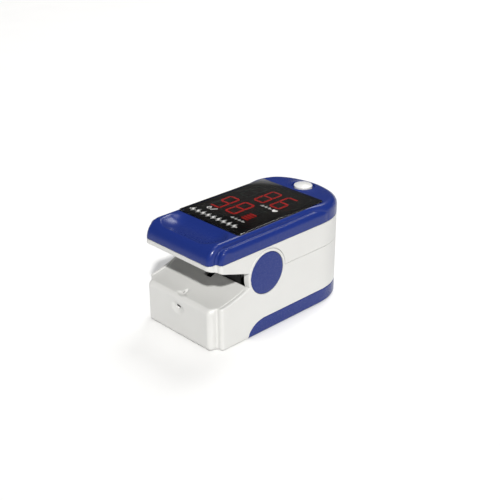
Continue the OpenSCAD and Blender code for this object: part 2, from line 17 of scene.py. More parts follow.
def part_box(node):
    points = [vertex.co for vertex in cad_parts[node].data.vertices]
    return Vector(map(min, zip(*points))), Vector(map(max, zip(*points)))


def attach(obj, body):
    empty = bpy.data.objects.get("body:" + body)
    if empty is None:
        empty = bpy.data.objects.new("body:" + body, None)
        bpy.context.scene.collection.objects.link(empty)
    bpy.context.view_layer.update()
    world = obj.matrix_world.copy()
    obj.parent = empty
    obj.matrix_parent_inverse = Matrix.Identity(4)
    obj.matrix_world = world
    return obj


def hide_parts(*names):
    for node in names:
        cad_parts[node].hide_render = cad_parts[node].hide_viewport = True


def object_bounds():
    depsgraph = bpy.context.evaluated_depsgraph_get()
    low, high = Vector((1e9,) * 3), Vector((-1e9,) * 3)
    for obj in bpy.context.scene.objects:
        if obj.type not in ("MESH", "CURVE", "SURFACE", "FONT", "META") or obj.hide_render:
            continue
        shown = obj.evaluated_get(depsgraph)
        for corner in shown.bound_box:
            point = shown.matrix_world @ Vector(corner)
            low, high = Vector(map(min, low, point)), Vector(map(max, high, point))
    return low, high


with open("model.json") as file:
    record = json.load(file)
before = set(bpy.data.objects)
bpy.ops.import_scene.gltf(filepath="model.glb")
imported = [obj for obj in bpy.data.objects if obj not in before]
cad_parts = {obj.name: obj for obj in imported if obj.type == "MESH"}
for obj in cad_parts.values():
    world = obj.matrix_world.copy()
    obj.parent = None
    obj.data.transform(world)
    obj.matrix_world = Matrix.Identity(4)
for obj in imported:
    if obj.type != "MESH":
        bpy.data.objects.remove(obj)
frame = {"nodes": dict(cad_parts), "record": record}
CAD_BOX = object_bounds()

MM = 0.001
TURN = 2 * math.pi
LEVER_Y = CAD_BOX[0].y


def mm_box(node):
    """A node's lowest and highest corner in millimetres, y from the lever end."""
    shift = Vector((0, LEVER_Y, 0))
    return [(corner - shift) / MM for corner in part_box(node)]


# ---------- Sizes from the frame ----------
LOWER_HIGH = mm_box("lower_shell")[1]
CAP_LOW, CAP_HIGH = mm_box("hinge_cap_right")
WINDOW_LOW, WINDOW_HIGH = mm_box("display_window")
BUTTON_LOW, BUTTON_HIGH = mm_box("power_button")
PAD_LOW, PAD_HIGH = mm_box("lower_finger_pad")
UPPER_PAD_HIGH = mm_box("upper_finger_pad")[1]
AXLE_LOW, AXLE_HIGH = mm_box("hinge_axle")
SENSOR_LOW, SENSOR_HIGH = mm_box("detector_window")

HALF_W = LOWER_HIGH.x
BODY_L = LOWER_HIGH.y
TOP_Z = WINDOW_HIGH.z
SEAM = 0.06
PAD_GAP = 0.15
PART_Z = PAD_HIGH.z + PAD_GAP
COVER_Z = mm_box("main_board")[0].z - 0.3
DOOR_Z = mm_box("battery_cover")[1].z
DOOR_TOP = DOOR_Z - 0.3
HINGE_Y = (CAP_LOW.y + CAP_HIGH.y) / 2
HINGE_Z = (CAP_LOW.z + CAP_HIGH.z) / 2
CAP_R = (CAP_HIGH.y - CAP_LOW.y) / 2
CAP_X = CAP_LOW.x
AXLE_R = (AXLE_HIGH.z - AXLE_LOW.z) / 2
BUTTON_Y = (BUTTON_LOW.y + BUTTON_HIGH.y) / 2
FLOOR_Z = UPPER_PAD_HIGH.z
DECK_Z = PAD_LOW.z - 1

# The window as it shows, a little proud of the cover
GLASS_LOW = (WINDOW_LOW.x + 0.1, WINDOW_LOW.y - 0.4)
GLASS_HIGH = (WINDOW_HIGH.x - 0.1, WINDOW_HIGH.y)
GLASS_TOP = TOP_Z + 0.3
BUTTON_R = 2.85

# Plan of the body
WALL = 1.5
BLOCK_HW = 13.6
BLOCK_R = 1.6
PANEL_Y = 2.7
PANEL_R = 1.1
NOTCH_R = 0.6
REAR_Y = 42.85
REAR_P = 2.32

# Shared radii of the moulded edges
EDGE_R = 0.2
BOTTOM_R = 1.0
LINE_R = 0.08
TINY = 1e-4

# ---------- Distance fields ----------


def meet(a, b, r):
    """Where two solids overlap, with an edge rounded by r."""
    both = np.hypot(np.maximum(r + a, 0), np.maximum(r + b, 0))
    return np.minimum(-r, np.maximum(a, b)) + both


def join(a, b, r):
    """Two solids together, with a fillet of r between them."""
    both = np.hypot(np.maximum(r - a, 0), np.maximum(r - b, 0))
    return np.maximum(r, np.minimum(a, b)) - both


def cut(a, b, r=EDGE_R):
    """Solid a without solid b, with an edge rounded by r."""
    return meet(a, -b, r)


def smooth(v, low, high):
    """0 below low, 1 above high, and a smooth rise between."""
    t = np.clip((v - low) / (high - low), 0, 1)
    return t * t * (3 - 2 * t)


def between(v, low, high):
    """Negative between low and high."""
    return np.maximum(low - v, v - high)


def rod(u, v, r):
    """Distance to a round bar through the origin of u and v."""
    return np.hypot(u, v) - r


def brick(x, y, z, low, high, r=EDGE_R):
    """A box with rounded edges."""
    sides = [between(v, low[i], high[i]) + r for i, v in enumerate((x, y, z))]
    outside = sum(np.maximum(s, 0) ** 2 for s in sides) ** 0.5
    return outside + np.minimum(np.maximum(np.maximum(sides[0], sides[1]), sides[2]), 0) - r


def rounded_rect(x, y, low, high, r):
    """A rectangle with round corners, seen from above."""
    u = between(x, low[0], high[0]) + r
    v = between(y, low[1], high[1]) + r
    return np.hypot(np.maximum(u, 0), np.maximum(v, 0)) + np.minimum(np.maximum(u, v), 0) - r


def plain_side(x, y):
    """The straight sides and the rounded finger end."""
    s = np.maximum(np.abs(x) / HALF_W, TINY)
    t = np.maximum((y - REAR_Y) / (BODY_L - REAR_Y), 0)
    size = (s**REAR_P + t**REAR_P) ** (1 / REAR_P)
    across = s ** (REAR_P - 1) / HALF_W
    along = t ** (REAR_P - 1) / (BODY_L - REAR_Y)
    return (size - 1) / (np.hypot(across, along) * size ** (1 - REAR_P))


def body_plan(x, y):
    """The outline seen from above: the front block, its notches and the side panels."""
    block = meet(np.abs(x) - BLOCK_HW, -y, BLOCK_R)
    block = np.maximum(block, y - REAR_Y)
    panels = meet(plain_side(x, y), PANEL_Y - y, PANEL_R)
    return join(block, panels, NOTCH_R)


def inner_plan(x, y, t):
    """The inside of a wall of thickness t."""
    block = np.maximum(np.maximum(np.abs(x) - BLOCK_HW + t, t - y), y - REAR_Y)
    panels = np.maximum(plain_side(x, y) + t, PANEL_Y + t - y)
    return np.minimum(block, panels)


def crown(y, z, front, depth, low, top):
    """A face that rises from the height low and leans back until it is level at top."""
    u = np.minimum(y - front - depth, 0) / depth
    v = np.maximum(z - low, 0) / (top - low)
    size = np.maximum(np.hypot(u, v), TINY)
    steep = np.hypot(u / depth, v / (top - low)) / size
    return (size - 1) / np.maximum(steep, 1 / max(depth, top - low))


def finger(x, y, z, z_arc, r):
    """The finger's channel, with a round end."""
    return np.sqrt(x**2 + (z - z_arc) ** 2 + np.minimum(y - CHANNEL_Y, 0) ** 2) - r


# ---------- The moulded parts ----------
# Lever ends: the sloping face of the lower housing and the straight underside of the upper one
SLOPE_END = 13.5
SLOPE_LOW, SLOPE_RISE, SLOPE_CURVE = 13.186, 0.0452, 0.01429
LEVER_LOW, LEVER_FALL, LEVER_STEEP = 25.25, 0.3324, 0.95
CABLE_NOTCH = ((-1.5, 11.4, 12), (1.5, SLOPE_END + 1, 18))

# Ears of the lower housing and lugs of the upper one, on the axle
EAR_X = 13.4
EAR_R = 7.3
EAR_GAP = 0.08
LUG_R = 4
LUG_X = (11.7, 13.2)

# The finger's channel, half in each pad
CHANNEL_R = 8.0
CHANNEL_D = 4.3
CHANNEL_Y = 34.0
MOUTH_R = 9.1
MOUTH_L = 8
MOUTH_EDGE = 0.3
LOWER_ARC = PART_Z - CHANNEL_D + CHANNEL_R
UPPER_ARC = PART_Z + CHANNEL_D - CHANNEL_R

# Screws and posts, as distance from the middle and from the lever end
TRAY_SCREWS = ((12.42, 29.0), (12.42, 42.0))
COVER_SCREW = (9.5, 5.5)
BOARD_POSTS = ((10.5, 10.5), (10.2, 45.6))
POST_R, POST_BORE_R, POST_TOP = 1.6, 0.55, 27
SCREW_R, SCREW_HEAD_R, SCREW_SEAT = 0.8, 1.4, 5.15

# The battery bay and the cover that slides on its rails
BAY_X, BAY_FRONT, BAY_REAR, BAY_TOP = 10.95, 14.4, 44.8, 6.15
BAY_SHELF = DOOR_Z + 0.2
RIB_GROOVE = ((12.5, 13, 2.4), (17, 46, 3.6))
RIB = ((12.7, 21, 2.6), (HALF_W - 1.3, 43.8, 3.4))
DOOR_START, DOOR_REACH = 19.7, 6.6
DOOR_WALL, DOOR_FLOOR = 1.4, 1.3
GRIPS, GRIP_Y, GRIP_PITCH = 6, 17, 1.9
GRIP_HW, GRIP_W, GRIP_DEEP = 6.5, 0.9, 0.4

# The cord eye: a slanted bore behind a slot, with a black block in the slot as painted shade for its dark
# inside
EYE_Z = 8.9
EYE_RISE = math.radians(52)
EYE_R, EYE_END = 0.55, 6
EYE_ROOM_Y, EYE_ROOM_R = 2.8, 1.5
EYE_SLOT = ((-0.9, -1, EYE_Z + 0.4), (0.9, 2.7, EYE_Z + 1.15))
EYE_SHADE_BLOCK = ((-0.86, 0.62, 9.34), (0.86, 2.6, 10.01))
DIMPLE_Y = 1.6

# A black wall between the lever face and the springs: painted shade standing in for the dark inside of the
# gap
SHADE_WALL_HW, SHADE_WALL_TOP, SHADE_WALL_DIP = 11.4, 19.4, 0.8
SHADE_WALL = ((-SHADE_WALL_HW, 13.65, DECK_Z), (SHADE_WALL_HW, 14.4, 21))


def slope_z(y):
    """The height of the lever face."""
    return SLOPE_LOW + SLOPE_RISE * y + SLOPE_CURVE * y**2


def door_region(y, z, gap):
    """Below the battery cover's top edge and behind its curved front edge."""
    reach, high = DOOR_REACH + gap, DOOR_TOP + gap
    u = np.minimum(y - DOOR_START, 0) / reach
    v = np.maximum(z, 0) / high
    size = np.maximum(np.hypot(u, v), TINY)
    steep = np.hypot(u / reach, v / high) / size
    return (size - 1) / np.maximum(steep, 1 / reach)


def around_axle(x, y, z, x0, r):
    """A disc on each side, on the hinge's axis, from x0 outwards."""
    return np.maximum(rod(y - HINGE_Y, z - HINGE_Z, r), x0 - np.abs(x))


def mouth(x, y, z, z_arc):
    """The round opening at the finger end."""
    return np.maximum(rod(x, z - z_arc, MOUTH_R), BODY_L - MOUTH_L - y)


def egg(*spans):
    """An ellipsoid from pairs of distance to the centre and radius, with an inexact distance."""
    return np.sqrt(sum((v / r) ** 2 for v, r in spans)) - 1


def strap_recess(x, y, z):
    """The cord eye with its shallow pocket in the front and a dimple in the lever face."""
    across = (z - EYE_Z) * math.cos(EYE_RISE) - y * math.sin(EYE_RISE)
    bore = np.maximum(rod(x, across, EYE_R), y - EYE_END)
    room = np.sqrt(x**2 + (y - EYE_ROOM_Y) ** 2 + (z - EYE_Z - 0.9) ** 2) - EYE_ROOM_R
    pocket = egg((x, 2.2), (z - EYE_Z - 0.3, 1.5), (y, 0.5))
    dimple = egg((x, 1.5), (y - DIMPLE_Y, 1.1), (z - slope_z(DIMPLE_Y), 0.4))
    hollows = np.minimum(brick(x, y, z, *EYE_SLOT), np.minimum(pocket, dimple) * 0.5)
    return np.minimum(np.minimum(bore, room), hollows)


def eye_shade_field(x, y, z):
    """A black block that fills the cord eye's slot: painted shade standing in for the slot's dark inside.
    """
    return brick(x, y, z, *EYE_SHADE_BLOCK)


def shade_wall_field(x, y, z):
    """A black wall, lower in the middle: painted shade for the dark inside of the gap."""
    top = SHADE_WALL_TOP - SHADE_WALL_DIP * smooth(-np.abs(x), -9, -5)
    return meet(brick(x, y, z, *SHADE_WALL), z - top, 0.3)


def rails(x, y, z):
    """The rails beside the batteries, with the grooves for the cover's ribs."""
    a = np.abs(x)
    rail = brick(a, y, z, (BAY_X, BAY_FRONT, 1.45), (13.9, BAY_REAR, BAY_TOP))
    shelf = brick(a, y, z, (BAY_X, BAY_FRONT, BAY_SHELF), (HALF_W - 1, BAY_REAR, BAY_TOP))
    rail = cut(np.minimum(rail, shelf), brick(a, y, z, *RIB_GROOVE))
    for sx, sy in TRAY_SCREWS:
        rail = cut(rail, np.maximum(rod(a - sx, y - sy, SCREW_HEAD_R), z - SCREW_SEAT))
        rail = cut(rail, rod(a - sx, y - sy, SCREW_R))
    return rail


def bay_walls(x, y, z):
    """The ends of the battery bay and the solid corner around the cord eye."""
    hw = BLOCK_HW - 1
    ahead = brick(x, y, z, (-hw, 3.5, 1), (hw, 4.6, DECK_Z - 0.1))
    behind = brick(x, y, z, (-10.4, 52.4, BAY_SHELF), (10.4, 53.4, DECK_Z - 0.1))
    boss = brick(x, y, z, (-2.6, 0.5, 6.6), (2.6, 4.0, 12.6))
    boss = np.maximum(boss, z - slope_z(y) + 0.4)
    return np.minimum(np.minimum(ahead, behind), boss)


def lever_gap(x, y, z):
    """The space above the lever face, a little deeper along a line beside each panel."""
    line = np.exp(-(((np.abs(x) - 14.25) / 0.2) ** 2)) * smooth(y, 3, 3.6) * smooth(-y, -12.8, -12)
    return np.maximum(slope_z(y) - 0.2 * line - z, y - SLOPE_END)


def lower_room(x, y, z):
    """The inside of the lower housing, behind and under the lever face."""
    rear = np.maximum(inner_plan(x, y, WALL), SLOPE_END - 0.01 - y)
    front = np.maximum(np.maximum(np.abs(x) - BLOCK_HW + WALL, WALL - y), y - SLOPE_END)
    front = np.maximum(front, np.maximum(WALL - z, z - slope_z(y) + WALL))
    return np.minimum(rear, front)


def lower_field(x, y, z):
    """The lower housing with its ears."""
    skin = meet(body_plan(x, y), -z, BOTTOM_R + 0.7 * smooth(-y, -5, -1))
    skin = meet(skin, z - PART_Z + SEAM / 2, LINE_R)
    skin = cut(skin, lever_gap(x, y, z), 0.4 + 1.1 * smooth(-y, -2.4, -1))
    skin = cut(skin, brick(x, y, z, *CABLE_NOTCH))
    skin = cut(skin, lower_room(x, y, z))
    skin = np.minimum(skin, bay_walls(x, y, z))
    skin = cut(skin, door_region(y, z, SEAM), 0.15)
    skin = np.minimum(skin, rails(x, y, z))
    skin = cut(skin, mouth(x, y, z, LOWER_ARC), MOUTH_EDGE)
    skin = cut(skin, around_axle(x, y, z, CAP_X, EAR_R - 0.2), 0.05)
    ear = meet(rod(y - HINGE_Y, z - HINGE_Z, EAR_R), np.abs(x) - HALF_W, 0.25)
    skin = np.minimum(skin, np.maximum(ear, EAR_X - np.abs(x)))
    skin = cut(skin, around_axle(x, y, z, CAP_X, CAP_R + 0.05), 0.1)
    skin = cut(skin, rod(y - HINGE_Y, z - HINGE_Z, AXLE_R), 0.1)
    return cut(skin, strap_recess(x, y, z), 0.25)


def door_field(x, y, z):
    """The battery cover, with grip grooves under it and a rib on each side."""
    shell = meet(meet(body_plan(x, y), -z, BOTTOM_R), door_region(y, z, 0), 0.18)
    shell = cut(shell, np.maximum(inner_plan(x, y, DOOR_WALL), DOOR_FLOOR - z))
    for i in range(GRIPS):
        y0 = GRIP_Y + GRIP_PITCH * i
        groove = brick(x, y, z, (-GRIP_HW, y0, -1), (GRIP_HW, y0 + GRIP_W, GRIP_DEEP), 0.15)
        shell = cut(shell, groove, 0.15)
    return np.minimum(shell, brick(np.abs(x), y, z, *RIB))


def upper_field(x, y, z):
    """The upper housing: a band with a floor, posts for the board and lugs on the axle."""
    skin = meet(body_plan(x, y), between(z, PART_Z + SEAM / 2, COVER_Z - SEAM / 2), LINE_R)
    skin = cut(skin, inner_plan(x, y, WALL))
    below = np.maximum((z - LEVER_LOW + LEVER_FALL * y) * LEVER_STEEP, y - SLOPE_END - 1)
    skin = cut(skin, below, 0.3)
    skin = cut(skin, mouth(x, y, z, UPPER_ARC), MOUTH_EDGE)
    floor = np.maximum(inner_plan(x, y, WALL - 0.1), between(z, FLOOR_Z, FLOOR_Z + 1))
    floor = cut(floor, brick(x, y, z, (-3, 15.8, 23), (3, 18.2, 27)))
    skin = np.minimum(skin, floor)
    for px, py in BOARD_POSTS:
        axis = np.abs(x) - px, y - py
        post = np.maximum(rod(*axis, POST_R), between(z, FLOOR_Z, POST_TOP))
        skin = join(skin, post, 0.2)
        skin = cut(skin, np.maximum(rod(*axis, POST_BORE_R), FLOOR_Z + 0.4 - z), 0.1)
    skin = cut(skin, around_axle(x, y, z, EAR_X - 0.1, EAR_R + EAR_GAP))
    skin = np.minimum(skin, lugs(x, y, z))
    return cut(skin, rod(np.abs(x) - COVER_SCREW[0], y - COVER_SCREW[1], SCREW_R), 0.1)


def lugs(x, y, z):
    """The upper housing's two lugs on the axle."""
    eye = rod(y - HINGE_Y, z - HINGE_Z, LUG_R)
    web = np.maximum(np.abs(y - HINGE_Y) - LUG_R, between(z, HINGE_Z, FLOOR_Z + 0.5))
    lug = meet(np.minimum(eye, web), between(np.abs(x), *LUG_X), EDGE_R)
    return cut(lug, rod(y - HINGE_Y, z - HINGE_Z, AXLE_R + 0.05), 0.1)


# The blue cover: a block between two lower rails, with a thumb dish
SHOULDER = BLOCK_HW
RAIL_TOP = 30.75
LEAN = 5.0
DISH_Y, DISH_LOW = 7.5, 30.2
DISH_AHEAD, DISH_BEHIND = 28, 9.5
SWELL, REAR_FALL = 0.45, 0.5
ROOF_LOW, ROOF_HIGH = 29.6, 30.6
BOSS_R, BOSS_TOP, BOSS_BORE_R = 1.7, 30.3, 0.6
GUIDE_R, GUIDE_Z = 4.0, (29.3, 31)
ROUND_Y, RIM_Y = (38, 47), (50, 58)
GROOVE_FADE, CHANNEL_FADE = (37, 45), (30, 42)
WINDOW_FIT = 0.08
WINDOW_CORNER = 0.8


def dish_z(x, y):
    """The thumb dish: a wide scoop in front of the window."""
    rise = np.maximum((np.abs(x) - 6) / 5.5, 0) ** 2.2
    bend = np.where(y < DISH_Y, DISH_AHEAD, DISH_BEHIND)
    return DISH_LOW + (y - DISH_Y) ** 2 / bend + 1.6 * rise


def top_shift(x, y):
    """How far the top stands above its height at the window: a swell at the button, a fall at the rim."""
    swell = smooth(-np.hypot(x, y - BUTTON_Y), -7, -1)
    return SWELL * swell - REAR_FALL * smooth(y, *RIM_Y)


def cover_outside(x, y, z):
    """The block and the rails, which grow into one round end behind the window."""
    side = plain_side(x, y)
    behind = smooth(y, *ROUND_Y)
    r = BLOCK_R - 0.3 * smooth(y, 1, 6) + 1.1 * behind
    top = crown(y, z - top_shift(x, y), 0, LEAN, COVER_Z, TOP_Z)
    block = meet(side + (HALF_W - SHOULDER) * (1 - behind), top, r)
    top = meet(crown(y, z, PANEL_Y, LEAN, COVER_Z, TOP_Z), z - RAIL_TOP, 1.0)
    rail = meet(side + 0.5 * smooth(y, 44, 50), top, PANEL_R + 0.7 * smooth(y, 4, 8))
    groove = 0.3 + 0.3 * smooth(-z, -30.5, -28.5)
    skin = join(block, rail, groove * (1 - smooth(y, *GROOVE_FADE)) + 0.02)
    channel_r = 0.45 * (1 - smooth(y, *CHANNEL_FADE))
    channel = rod(np.abs(x) - SHOULDER - 0.35, z - RAIL_TOP - 0.1, channel_r)
    return cut(skin, np.maximum(channel, 5.5 - y), 0.25)


def cover_field(x, y, z):
    """The blue cover with its dish, its window frame, its button hole and its screw bosses."""
    low = COVER_Z + SEAM / 2
    skin = meet(cover_outside(x, y, z), low - z, 0.12)
    hollow = np.maximum(inner_plan(x, y, WALL), z - ROOF_LOW)
    deep = np.maximum(np.maximum(inner_plan(x, y, 2 * WALL), z - ROOF_HIGH), 10.5 - y)
    skin = cut(skin, np.minimum(hollow, deep))
    boss_axis = np.abs(x) - COVER_SCREW[0], y - COVER_SCREW[1]
    boss = np.maximum(rod(*boss_axis, BOSS_R), between(z, FLOOR_Z + 1, BOSS_TOP))
    skin = np.minimum(skin, boss)
    guide = np.abs(rod(x, y - BUTTON_Y, GUIDE_R)) - 0.3
    skin = np.minimum(skin, np.maximum(guide, between(z, *GUIDE_Z)))
    skin = cut(skin, dish_z(x, y) - z, 0.25)
    frame_low = (GLASS_LOW[0] - WINDOW_FIT, GLASS_LOW[1] - WINDOW_FIT)
    frame_high = (GLASS_HIGH[0] + WINDOW_FIT, GLASS_HIGH[1] + WINDOW_FIT)
    opening = rounded_rect(x, y, frame_low, frame_high, WINDOW_CORNER + 0.05)
    skin = cut(skin, np.maximum(opening, WINDOW_LOW.z - z), 0.12)
    skin = cut(skin, np.maximum(opening + 1, 28 - z))
    radius = rod(x, y - BUTTON_Y, BUTTON_R)
    skin = cut(skin, np.maximum(radius - 0.08, 25 - z), 0.1)
    skin = cut(skin, np.maximum(radius - 0.75, TOP_Z - 0.5 - z), 0.25)
    return cut(skin, np.maximum(rod(*boss_axis, BOSS_BORE_R), z - ROOF_LOW), 0.1)


def pad_field(base):
    """A finger pad below the parting line, with its back at the height base."""
    def field(x, y, z):
        top = PAD_HIGH.z
        body = np.maximum(np.abs(x) - PAD_HIGH.x + 0.03, PAD_LOW.y - y)
        body = np.maximum(body, inner_plan(x, y, WALL + 0.2))
        body = meet(body, between(z, base, top), 0.35)
        lip = np.maximum(rod(x, z - LOWER_ARC, MOUTH_R - 0.12), between(y, 55.3, BODY_L - 0.25))
        lip = meet(lip, z - top, 0.3)
        body = join(body, np.maximum(lip, base - z), 0.1)
        flare = 0.9 * smooth(y, 53.5, BODY_L + 1)
        body = cut(body, finger(x, y, z, LOWER_ARC, CHANNEL_R + flare), 0.6)
        frame_low = (SENSOR_LOW.x, SENSOR_LOW.y, SENSOR_HIGH.z - 0.3)
        pocket = brick(x, y, z, frame_low, (SENSOR_HIGH.x, SENSOR_HIGH.y, PART_Z))
        body = cut(body, pocket, 0.15)
        deep = brick(x, y, z, (-2.1, 38.7, base - 1), (2.1, 43.3, SENSOR_HIGH.z))
        return cut(body, deep)
    return field


def upper_pad_field(x, y, z):
    """The lower pad's shape, mirrored at the parting line."""
    return pad_field(2 * PART_Z - FLOOR_Z)(x, y, 2 * PART_Z - z)


# ---------- Meshes ----------
CELL = 0.22
GRID_MARGIN = 2.3


def surface_net(value):
    """Points and quads of the surface between negative and positive values on a grid."""
    stride = np.array([value.shape[1] * value.shape[2], value.shape[2], 1])
    rings, points = [], []
    for axis in range(3):
        first = np.moveaxis(value, axis, 0)[:-1]
        second = np.moveaxis(value, axis, 0)[1:]
        at = np.argwhere((first < 0) != (second < 0))
        a = first[tuple(at.T)]
        b = second[tuple(at.T)]
        others = [k for k in range(3) if k != axis]
        grid = np.zeros_like(at)
        grid[:, [axis, *others]] = at
        point = grid.astype(float)
        point[:, axis] += a / (a - b)
        u, v = stride[(axis + 1) % 3], stride[(axis + 2) % 3]
        corner = grid @ stride
        ring = np.stack([corner, corner - u, corner - u - v, corner - v], 1)
        rings.append(np.where((a < 0)[:, None], ring, ring[:, ::-1]))
        points.append(point)
    ring, point = np.concatenate(rings), np.concatenate(points)
    place = np.unique(ring, return_inverse=True)[1].reshape(-1, 4)
    count = np.bincount(place.ravel())
    total = [np.bincount(place.ravel(), np.repeat(point[:, k], 4)) for k in range(3)]
    return np.stack(total, 1) / count[:, None], place


def slopes(points, field, value):
    """How the field rises along x, y and z."""
    step = 0.01
    moved = [points + step * np.eye(3)[k] for k in range(3)]
    return np.stack([(field(*p.T) - value) / step for p in moved], 1)


def settle(points, field, rounds):
    """Moves points onto the surface of the field."""
    for _ in range(rounds):
        value = field(*points.T)
        rise = slopes(points, field, value)
        move = rise * (value / np.maximum((rise**2).sum(1), 0.2))[:, None]
        points = points - np.clip(move, -CELL / 2, CELL / 2)
    return points


def to_frame(points):
    """Points in millimetres from the lever end, as the frame's metres."""
    return np.asarray(points) * MM + np.array([0, LEVER_Y, 0])


def mesh_of(name, points, faces):
    """A mesh from arrays, with faces of one size."""
    mesh = bpy.data.meshes.new(name)
    mesh.from_pydata(np.asarray(points).tolist(), [], np.asarray(faces).tolist())
    mesh.update()
    return mesh


def thinned(mesh, share):
    """The mesh with fewer faces where it is flat."""
    body = bpy.data.objects.new(mesh.name, mesh)
    bpy.context.scene.collection.objects.link(body)
    thin = body.modifiers.new("thin", "DECIMATE")
    thin.ratio = share
    depsgraph = bpy.context.evaluated_depsgraph_get()
    result = bpy.data.meshes.new_from_object(body.evaluated_get(depsgraph))
    bpy.data.objects.remove(body)
    bpy.data.meshes.remove(mesh)
    return result


def mould(name, field, low, high, share=0.3):
    """A closed smooth mesh of the field's surface inside a box."""
    start = np.array(low, float) - GRID_MARGIN * CELL
    count = np.ceil((np.array(high) - start) / CELL).astype(int) + 3
    axes = [start[k] + CELL * np.arange(count[k]) for k in range(3)]
    value = field(*np.meshgrid(*axes, indexing="ij", sparse=True))
    value = np.broadcast_to(value, tuple(count))
    points, quads = surface_net(value)
    points = settle(start + points * CELL, field, 2)
    mesh = thinned(mesh_of(name, points, quads), share)
    points = np.empty(len(mesh.vertices) * 3)
    mesh.vertices.foreach_get("co", points)
    points = settle(points.reshape(-1, 3), field, 2)
    normals = slopes(points, field, field(*points.T))
    normals /= np.maximum(np.linalg.norm(normals, axis=1), TINY)[:, None]
    mesh.vertices.foreach_set("co", to_frame(points).ravel())
    mesh.shade_smooth()
    mesh.normals_split_custom_set_from_vertices(normals.tolist())
    mesh.update()
    return shown(mesh)


def shown(mesh):
    """The mesh as an object in the scene."""
    piece = bpy.data.objects.new(mesh.name, mesh)
    bpy.context.scene.collection.objects.link(piece)
    return piece


def finished(bm, name, degrees=None):
    """The piece of a bmesh, smooth shaded where faces turn less than the angle."""
    bmesh.ops.recalc_face_normals(bm, faces=bm.faces)
    mesh = bpy.data.meshes.new(name)
    bm.to_mesh(mesh)
    bm.free()
    if degrees:
        mesh.shade_smooth()
        mesh.set_sharp_from_angle(angle=math.radians(degrees))
    return shown(mesh)


def circle(r, steps):
    """Points on a circle around the origin."""
    turn = [TURN * k / steps for k in range(steps)]
    return [(r * math.cos(a), r * math.sin(a)) for a in turn]


def turned(name, profile, steps, place):
    """A closed lathe body from (radius, height) points, moved by the matrix place."""
    bm = bmesh.new()
    rings = []
    for r, h in profile:
        if r < TINY:
            rings.append([bm.verts.new((0, 0, h))])
        else:
            rings.append([bm.verts.new((u, v, h)) for u, v in circle(r, steps)])
    for lower, upper in zip(rings, rings[1:]):
        for k in range(steps):
            j = (k + 1) % steps
            ring = [lower[k % len(lower)], lower[j % len(lower)]]
            ring += [upper[j % len(upper)], upper[k % len(upper)]]
            bm.faces.new(list(dict.fromkeys(ring)))
    bm.transform(Matrix.Translation((0, LEVER_Y, 0)) @ Matrix.Scale(MM, 4) @ place)
    return finished(bm, name, 40)


def arc_points(centre, r, start, end, steps):
    """Points (radius, height) on an arc, angles in degrees."""
    turn = [math.radians(start + (end - start) * k / steps) for k in range(steps + 1)]
    return [(centre[0] + r * math.cos(a), centre[1] + r * math.sin(a)) for a in turn]


def skinned(bm, rings):
    """A closed skin over rings of equal point counts, in millimetres."""
    layers = [[bm.verts.new(p) for p in to_frame(ring)] for ring in rings]
    for lower, upper in zip(layers, layers[1:]):
        for k in range(len(lower)):
            j = (k + 1) % len(lower)
            bm.faces.new((lower[k], lower[j], upper[j], upper[k]))
    bm.faces.new(layers[0][::-1])
    bm.faces.new(layers[-1])


def stacked(name, rings):
    """A closed body through rings of equal point counts."""
    bm = bmesh.new()
    skinned(bm, rings)
    return finished(bm, name, 30)


# ---------- Building the pieces ----------
CAP_EDGE = 0.35
CAP_STEPS, BUTTON_STEPS = 96, 72
WINDOW_EDGE = 0.12
FLANGE_Z, DOME_Z = 30.0, 32.35


def add_shells():
    """The moulded pieces: field, box to search, share of faces kept, body, slot and node."""
    base, side, end = (-HALF_W, 0, 0), HALF_W, BODY_L
    shells = (
        ("lower_housing", lower_field, base, (side, end, 26.2), 0.2,
         "lower_body", "white_housing", "lower_shell"),
        ("battery_door_cover", door_field, base, (side, end, DOOR_Z), 0.3,
         "battery_door", "blue_cover", "battery_cover"),
        ("upper_housing", upper_field, (-side, 0, 14.6), (side, end, 27.2), 0.3,
         "upper_jaw", "white_housing", "upper_shell"),
        ("blue_top_cover", cover_field, (-side, 0, 25.8), (side, end, TOP_Z), 0.4,
         "upper_jaw", "blue_cover", "top_cover"),
        ("lower_silicone_pad", pad_field(PAD_LOW.z), PAD_LOW, PAD_HIGH, 0.4,
         "lower_body", "black_silicone", "lower_finger_pad"),
        ("upper_silicone_pad", upper_pad_field, (PAD_LOW.x, PAD_LOW.y, PART_Z), UPPER_PAD_HIGH, 0.4,
         "upper_jaw", "black_silicone", "upper_finger_pad"),
        # A black block in the cord eye's slot: painted shade for the slot's dark inside
        ("strap_bar", eye_shade_field, *EYE_SHADE_BLOCK, 0.8, "lower_body", "black_inner"),
        # A black wall behind the lever face: painted shade for the gap's dark inside
        ("light_shield", shade_wall_field, (-SHADE_WALL_HW, 13.5, DECK_Z), (SHADE_WALL_HW, 14.5, 19.5), 0.2,
         "lower_body", "black_inner"),
    )
    for name, field, low, high, share, *place in shells:
        piece = mould(name, field, low, high, share)
        dress(piece, *place)


def add_hinge_caps():
    """A blue disc on each side, with a rounded rim and a slightly crowned face."""
    edge = CAP_EDGE
    profile = [(0, 0), (CAP_R - 0.1, 0), (CAP_R, 0.1)]
    thick = CAP_HIGH.x - CAP_X
    profile += arc_points((CAP_R - edge, thick - edge - 0.05), edge, 0, 90, 8)
    profile += [(CAP_R - 0.9, thick - 0.04), (CAP_R * 0.6, thick - 0.01), (0, thick)]
    caps = []
    for side, name in ((1, "cap_disc_right"), (-1, "cap_disc_left")):
        tip = Matrix.Rotation(side * math.pi / 2, 4, "Y")
        place = Matrix.Translation((side * CAP_X, HINGE_Y, HINGE_Z)) @ tip
        caps.append(turned(name, profile, CAP_STEPS, place))
    return caps


